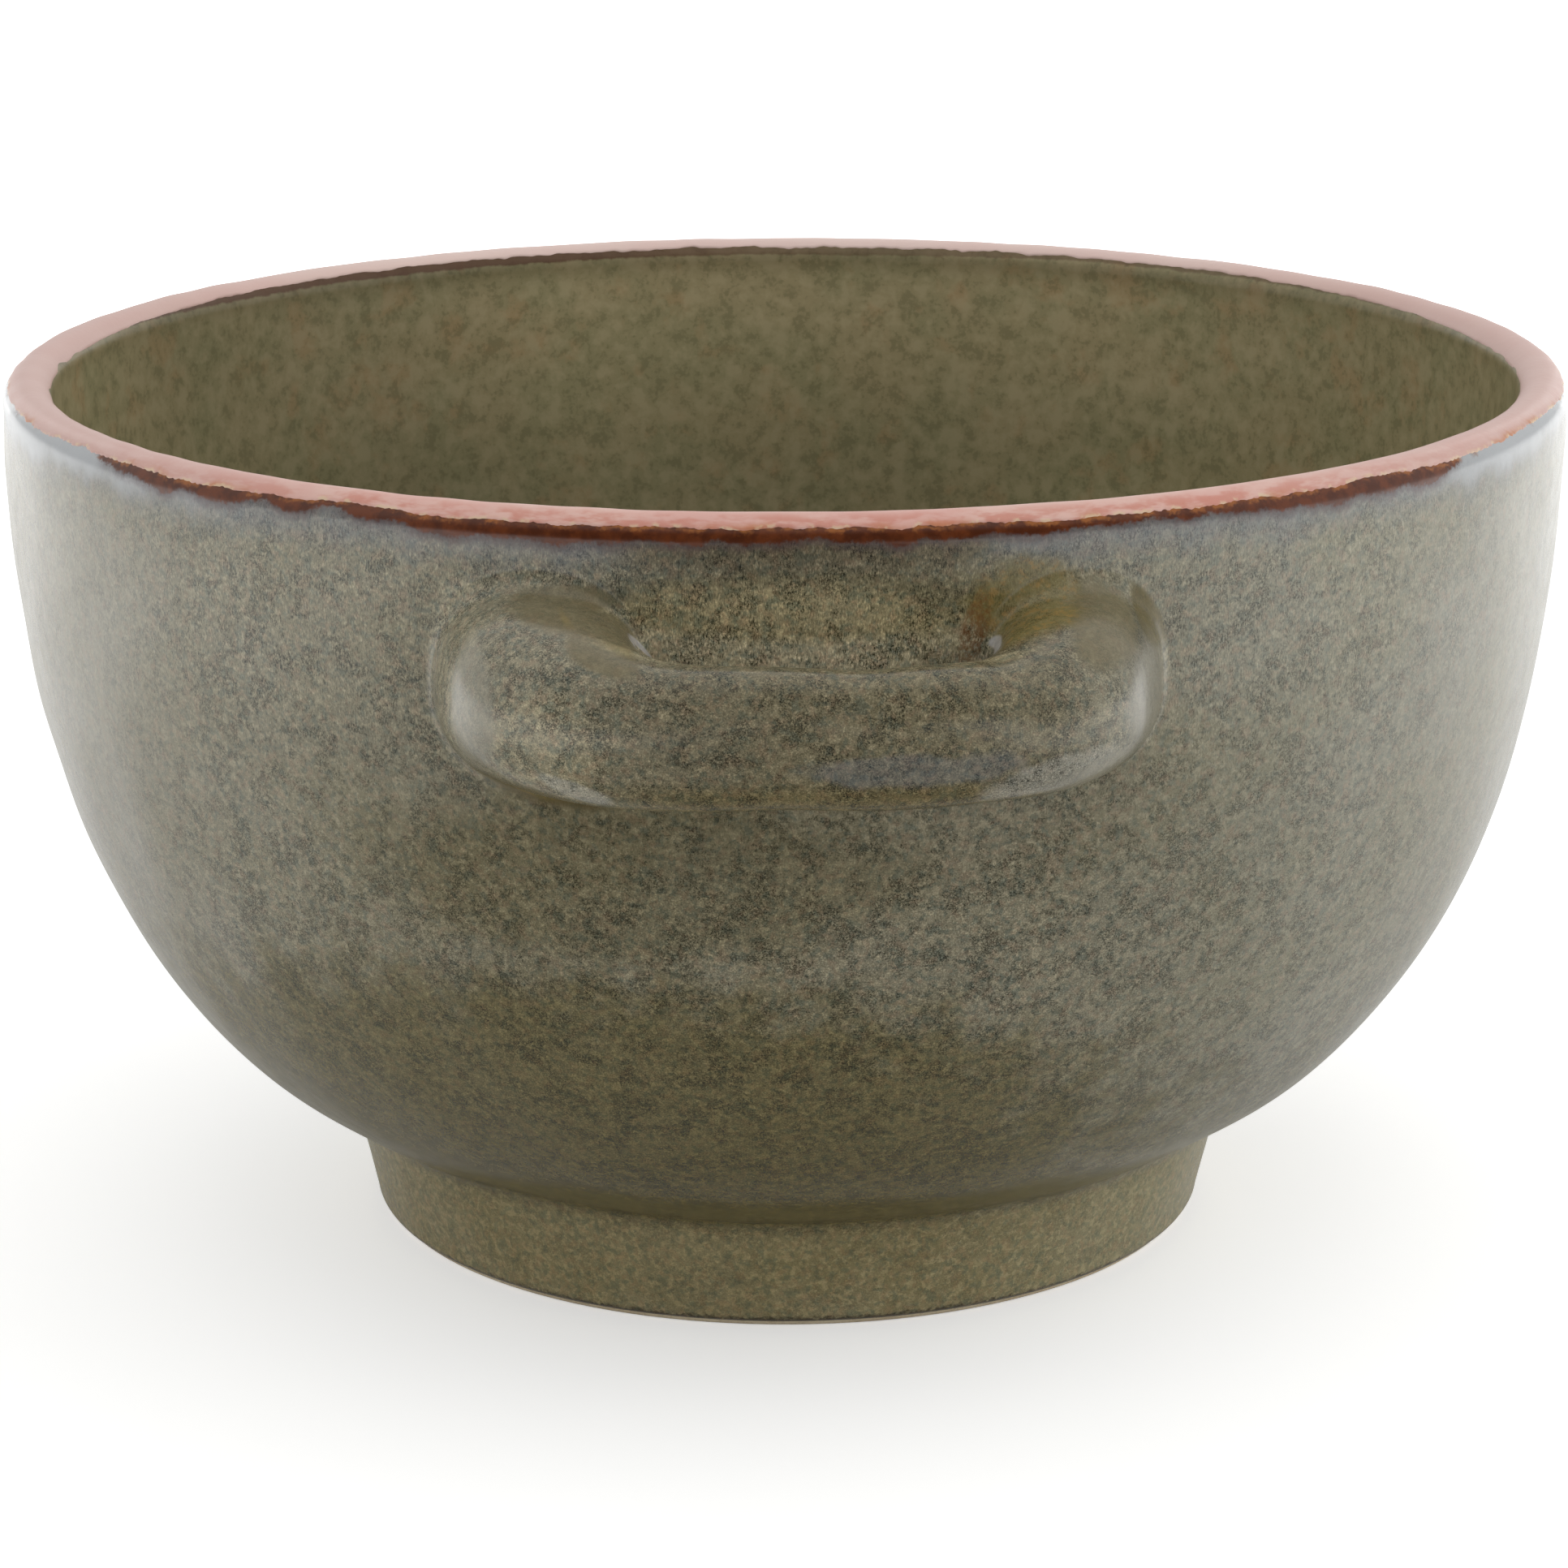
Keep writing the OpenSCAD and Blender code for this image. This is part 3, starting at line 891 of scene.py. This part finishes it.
def add_haze(paint, at, marks, colour):
    """Blue-grey haze under the rim and on the lug, with a painted reflection making it palest at the
    sides.
    """
    haze_run = paint.add(at.below, paint.times(at.wander, 2.2))
    haze = paint.times(paint.step(haze_run, 4.6, 0.8), paint.flip(at.near_lug), 0.55)
    blue = paint.times(at.patch((7, 62.4), (9, 1.3), wavy=1.0), at.on_lug)
    haze = paint.most(haze, paint.times(blue, 0.3))
    haze = paint.times(haze, between_marks(paint, marks, 0.5, 0.5))
    colour = paint.mix(haze, colour, linear(116, 121, 130))
    # Painted reflection: paler under the rim towards the sides
    painted_side_sheen = paint.times(paint.step(at.aside, 42, 60), paint.step(haze_run, 3.0, 0.8))
    painted_side_sheen = paint.times(painted_side_sheen, paint.add(0.4, paint.times(at.facing, 0.6)))
    return paint.mix(paint.times(painted_side_sheen, 0.8), colour, linear(174, 177, 180))


def add_gold(paint, at, marks, colour):
    """Golden breaks in the corners behind the lug, rusty at one end, and in the pool."""
    in_corner = at.patch((16.6, 72.2), (4.4, 3.0), turn=8, wavy=0.8)
    in_pool = at.patch((-23.0, 57.6), (4.0, 0.7), turn=-30, wavy=0.8)
    gold = paint.most(paint.times(in_corner, at.corner), paint.times(in_pool, 0.6))
    gold = paint.times(gold, between_marks(paint, marks, 0.5, 0.5))
    colour = paint.mix(paint.times(gold, 0.6), colour, linear(116, 104, 50))
    ochre = paint.times(gold, paint.step(paint.noise(0.7, 3.0, 0.7), 0.48, 0.66))
    colour = paint.mix(paint.times(ochre, 0.5), colour, linear(158, 122, 66))
    arc = paint.times(at.patch((-16.3, 70.3), (3.2, 0.35), turn=-35, wavy=0.2), at.corner)
    colour = paint.mix(paint.times(arc, 0.6), colour, linear(156, 134, 80))
    grain = paint.step(paint.noise(0.4, 3.0, 0.7, shift=(5.0, 1.0, 9.0)), 0.36, 0.6)
    rusty = at.patch((12.8, 69.8), (1.0, 3.2), turn=-15, wavy=0.8)
    rusty = paint.times(rusty, at.corner, grain)
    return paint.mix(paint.times(rusty, 0.6), colour, linear(112, 68, 32))


def add_glints(paint, at, colour):
    """Painted glints in the corners, and a painted highlight along the back edge of the lug's top."""
    # Painted glints: small pale highlights in the corners by the lug
    glints = paint.most(at.patch((14.7, 69.0), (0.8, 0.4), turn=30, wavy=0.2),
                        at.patch((-12.9, 68.8), (1.4, 0.15), turn=-50, wavy=0.1))
    glints = paint.times(glints, at.corner, 0.65)
    colour = paint.mix(glints, colour, linear(196, 193, 190))
    # Painted highlight along the back edge of the lug's top
    painted_crest_highlight = paint.times(paint.step(at.out, 77.5, 78.0), paint.step(at.out, 79.4, 78.7),
                        paint.step(at.z, 67.6, 68.4), paint.step(at.aside, 18, 15))
    return paint.tint(paint.times(painted_crest_highlight, 0.8), colour, (1.7, 1.7, 1.7))


def add_rust(paint, at, marks, colour):
    """Rust where the glaze breaks under the pink band, dark and purple at its lower side."""
    rust = at.rust
    depth = paint.add(at.below, paint.times(at.ragged, 0.9))
    past_rust = paint.math("SUBTRACT", depth, rust)
    veil = paint.times(paint.step(past_rust, 1.0, -0.1), paint.step(rust, 0.15, 0.8))
    veil = paint.times(veil, between_marks(paint, marks, 0.45, 0.35))
    colour = paint.mix(veil, colour, linear(78, 58, 60))
    deep = paint.step(paint.noise(1.3, 3.0, 0.6, shift=(2.0, 8.0, 4.0)), 0.36, 0.66)
    brown = paint.mix(deep, linear(74, 32, 8), linear(98, 46, 14))
    amber = paint.times(paint.step(depth, 0.34, -0.02),
                        paint.step(paint.noise(1.8, 3.0, 0.6), 0.44, 0.6))
    brown = paint.mix(amber, brown, linear(142, 82, 30))
    amount = paint.times(paint.step(past_rust, 0.14, -0.22), paint.step(rust, 0.1, 0.35))
    return paint.mix(amount, colour, brown)


def add_foot_tones(paint, at, colour):
    """Warmer on the foot, with a dark line at the glaze's edge."""
    colour = paint.tint(at.foot, colour, (1.38, 1.32, 1.10))
    foot_edge = paint.step(paint.add(at.z, paint.times(at.ragged, 1.6)), 1.3, 0.8)
    return paint.mix(paint.times(foot_edge, 0.8), colour, linear(48, 38, 26))


def speckled_glaze():
    paint = Paint("speckled_glaze")
    at = GlazeMap(paint)
    colour = mottled_ground(paint, at)
    colour = add_olive(paint, at, colour)
    colour = add_lug_tones(paint, at, colour)
    colour, clear = add_clear_glaze(paint, at, colour)
    colour, marks, fine = add_marks(paint, at, clear, colour)
    colour = add_haze(paint, at, marks, colour)
    colour = add_gold(paint, at, marks, colour)
    colour = add_glints(paint, at, colour)
    colour = add_rust(paint, at, marks, colour)
    colour = add_foot_tones(paint, at, colour)
    relief = paint.add(paint.noise(1.8, 2.0), paint.times(fine, 0.15))
    normal = paint.bump(relief, 0.03)
    roughness = paint.add(0.16, paint.times(paint.noise(2.0, 2.0), 0.14))
    return paint.finish(colour, roughness, normal, specular=0.42)


def olive_ground(paint):
    """Olive glaze with soft brown and beige patches."""
    drift = paint.noise(9, 3.0, 0.6)
    colour = paint.mix(paint.step(drift, 0.36, 0.64), linear(141, 131, 98), linear(133, 127, 94))
    warm = paint.noise(5, 3.0, 0.6, shift=(11.0, 7.0, 3.0))
    colour = paint.mix(paint.times(paint.step(warm, 0.54, 0.68), 0.4), colour, linear(152, 124, 88))
    blotch = paint.noise(1.8, 3.0, 0.6)
    colour = paint.mix(paint.times(paint.step(blotch, 0.48, 0.66), 0.42), colour, linear(160, 149, 117))
    fine = paint.noise(0.5, 2.0, 0.6)
    speckle = paint.add(paint.times(fine, 0.35), paint.times(blotch, 0.65))
    return paint.mix(paint.times(paint.step(speckle, 0.5, 0.38), 0.42), colour, linear(92, 90, 62))


def olive_glaze():
    paint = Paint("olive_glaze")
    x, _, z = paint.parts(paint.mm)
    run = paint.attribute("run")
    colour = olive_ground(paint)

    # Painted light makes it lighter high on the wall, away from its left and right ends; it is darker
    # lower down and on the left side
    high = paint.times(paint.step(z, 58, 73), paint.step(z, 77.5, 74.5))
    high = paint.times(high, paint.step(paint.math("ABSOLUTE", x), 60, 30))
    colour = paint.tint(high, colour, (1.3, 1.28, 1.32))
    colour = paint.tint(paint.step(z, 64, 52), colour, (0.86, 0.86, 0.84))
    colour = paint.tint(paint.step(z, 75.5, 77.5), colour, (0.86, 0.83, 0.8))
    left = paint.times(paint.step(x, -16, -42), paint.step(x, -68, -58))
    colour = paint.tint(left, colour, (0.78, 0.78, 0.78))
    right_front = paint.times(paint.step(x, 12, 38), paint.step(z, 62, 48))
    colour = paint.tint(right_front, colour, (1.25, 1.25, 1.25))

    # A brown line where it meets the pink band, wider at the back and to the left
    ragged = paint.add(paint.noise(1.4, 3.0, 0.6), -0.5)
    wide = paint.times(paint.step(x, 34, 12), paint.step(paint.math("ABSOLUTE", x), 66, 52))
    shifted = paint.add(paint.add(run, paint.times(ragged, 0.6)), paint.times(wide, -0.45))
    strength = paint.add(0.8, paint.times(paint.step(x, -20, 10), -0.3))
    line = paint.times(paint.step(shifted, 2.3, 2.0), strength)
    colour = paint.mix(line, colour, linear(76, 42, 26))
    normal = paint.bump(paint.noise(2.4, 2.0), 0.03)
    return paint.finish(colour, 0.32, normal, specular=0.28)


def foot_well():
    paint = Paint("foot_well_glaze")
    normal = paint.bump(paint.noise(2.4, 2.0), 0.03)
    return paint.finish(olive_ground(paint), 0.32, normal, specular=0.28)


def pink_glaze():
    paint = Paint("pink_glaze")
    edge = paint.attribute("edge")
    streak = paint.noise(1.1, 3.0, 0.6, stretch=(0.35, 0.35, 1.6))
    drift = paint.noise(9, 3.0, 0.55)
    x, y, _ = paint.parts(paint.mm)
    colour = paint.mix(paint.step(drift, 0.38, 0.62), linear(210, 164, 153), linear(214, 176, 164))
    rosy = paint.times(paint.step(edge, 2.4, 0.6), paint.step(streak, 0.38, 0.6))
    colour = paint.mix(paint.times(rosy, 0.75), colour, linear(194, 126, 108))
    # Painted shade: greyer, duller pink towards the left and right ends
    ends = paint.step(paint.math("ABSOLUTE", x), 30, 64)
    colour = paint.mix(paint.times(ends, 0.8), colour, linear(198, 169, 161))
    colour = paint.mix(paint.times(paint.step(y, 30, 60), 0.6), colour, linear(216, 200, 193))
    glow = paint.times(paint.step(edge, 0.9, 0.1), paint.step(paint.noise(7.0, 2.0), 0.52, 0.66))
    colour = paint.mix(paint.times(glow, 0.75), colour, linear(182, 112, 58))
    clear = paint.times(paint.step(edge, 0.5, 0.12), paint.step(paint.noise(1.6, 3.0, 0.6), 0.5, 0.6))
    colour = paint.mix(paint.times(clear, 0.8), colour, linear(214, 190, 158))
    normal = paint.bump(paint.noise(0.9, 2.0), 0.03)
    return paint.finish(colour, 0.4, normal, specular=0.3)


def bare_clay():
    paint = Paint("bare_clay")
    grain = paint.noise(0.35, 3.0, 0.65)
    drift = paint.noise(8, 2.0)
    colour = paint.mix(paint.step(drift, 0.35, 0.65), linear(228, 214, 186), linear(216, 198, 168))
    colour = paint.mix(paint.times(paint.step(grain, 0.5, 0.36), 0.35), colour, linear(168, 146, 116))
    normal = paint.bump(grain, 0.06)
    return paint.finish(colour, 0.8, normal, specular=0.3)


def dress(piece, material):
    piece.data.materials.clear()
    piece.data.materials.append(material)


# Camera, floor and light

def add_camera():
    camera = bpy.data.cameras.new("camera")
    camera.lens = CAMERA_LENS
    camera.sensor_width = 36.0
    camera.shift_x = CAMERA_SHIFT
    camera.clip_start, camera.clip_end = 0.01, 50.0
    holder = bpy.data.objects.new("camera", camera)
    bpy.context.scene.collection.objects.link(holder)
    holder.location = Vector(CAMERA_PLACE) * MM
    heading = Matrix.Rotation(math.radians(CAMERA_HEADING), 4, "Z")
    tilt = Matrix.Rotation(math.radians(CAMERA_TILT), 4, "X")
    roll = Matrix.Rotation(CAMERA_ROLL, 4, "Z")
    holder.rotation_euler = (heading @ tilt @ roll).to_euler()
    bpy.context.scene.camera = holder


def add_floor():
    mesh = bpy.data.meshes.new("floor")
    half = FLOOR_HALF_W
    corners = [(-half, -half, 0), (half, -half, 0), (half, half, 0), (-half, half, 0)]
    mesh.from_pydata([tuple(v * MM for v in c) for c in corners], [], [(0, 1, 2, 3)])
    floor = bpy.data.objects.new("floor", mesh)
    bpy.context.scene.collection.objects.link(floor)
    paint = Paint("floor_white")
    x, y, _ = paint.parts(paint.mm)
    far = paint.math("SQRT", paint.add(paint.times(x, x), paint.times(y, y)))
    aside = paint.math("ABSOLUTE", x)
    seen, mirrored = paint.rays()

    # In the glaze the floor is darker in front of the bowl, where a studio is unlit
    in_front = paint.times(paint.step(y, -35, -110), paint.step(aside, 260, 60))
    unlit = paint.times(paint.times(in_front, mirrored), FRONT_SHADE)
    white, grey = (0.8, 0.8, 0.79, 1), (0.02, 0.02, 0.02, 1)
    plain = paint.shader("ShaderNodeBsdfDiffuse", Color=paint.mix(unlit, white, grey))

    # It has more light of its own further away, where the lamps reach less, and at the sides
    own = paint.times(seen, paint.add(0.45, paint.times(paint.step(far, 120, 500), 0.45)))
    side = paint.times(mirrored, paint.times(paint.step(aside, 40, 300), FLOOR_SIDE_GLOW))
    glow = paint.shader("ShaderNodeEmission", Strength=paint.add(own, side))
    both = paint.tree.nodes.new("ShaderNodeAddShader")
    paint.put(both.inputs[0], plain)
    paint.put(both.inputs[1], glow)
    paint.put(paint.output.inputs["Surface"], both.outputs[0])
    mesh.materials.append(paint.material)


def add_world():
    world = bpy.data.worlds.new("surround")
    bpy.context.scene.world = world
    world.use_nodes = True
    nodes = Nodes(world.node_tree)
    output = nodes.tree.nodes.new("ShaderNodeOutputWorld")
    seen, mirrored = nodes.rays()
    _, y, _ = nodes.parts(nodes.coordinates("Generated"))
    in_front = nodes.times(nodes.step(y, -0.25, -0.8), FRONT_SHADE)
    in_glaze = nodes.times(nodes.flip(in_front), WORLD_WHITE)
    strength = nodes.add(nodes.times(nodes.flip(nodes.most(seen, mirrored)), WORLD_LIGHT),
                         nodes.add(nodes.times(seen, WORLD_WHITE), nodes.times(mirrored, in_glaze)))
    light = nodes.shader("ShaderNodeBackground", Strength=strength)
    nodes.put(output.inputs["Surface"], light)


def add_softbox(name, bearing, distance, height, wide, tall, brightness, mirrored=False):
    """A soft lamp at a bearing in degrees, where 0 is the front and a positive one is to the right."""
    turn = math.radians(bearing)
    place = Vector((distance * math.sin(turn), -distance * math.cos(turn), height))
    lamp = bpy.data.lights.new(name, "AREA")
    lamp.shape = "RECTANGLE"
    lamp.size, lamp.size_y = wide, tall
    lamp.energy = brightness * math.pi * wide * tall
    holder = bpy.data.objects.new(name, lamp)
    bpy.context.scene.collection.objects.link(holder)
    holder.location = place
    target = Vector((0, 0, 0.045))
    holder.rotation_euler = (target - place).to_track_quat("-Z", "Y").to_euler()
    holder.visible_glossy = mirrored


def main():
    add_camera()
    add_floor()
    add_world()
    add_softbox("softbox_left", -110,0.75, 0.4, 0.9, 0.8, LEFT_LAMP)
    add_softbox("softbox_right", 95, 0.75, 0.4, 0.9, 0.8, RIGHT_LAMP)
    add_softbox("overhead", 0, 0.0, 0.9, 0.7, 0.7, OVERHEAD_LAMP)
    add_softbox("above_front", 0, 0.55, 0.65, 0.6, 0.5, FRONT_LAMP)
    add_softbox("strip_left", -150,0.7, 0.25, 0.05, 0.5, STRIP_LAMP, mirrored=True)
    add_softbox("strip_right", 150, 0.7, 0.25, 0.05, 0.5, STRIP_LAMP, mirrored=True)
    clay = bare_clay()
    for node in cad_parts.values():
        dress(node, clay)
    dress(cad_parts["foot_well_glaze"], foot_well())
    dress(outside_skin(), speckled_glaze())
    dress(inside_skin(), olive_glaze())
    dress(rim_skin(), pink_glaze())
    bpy.context.scene.view_settings.view_transform = "Standard"


main()
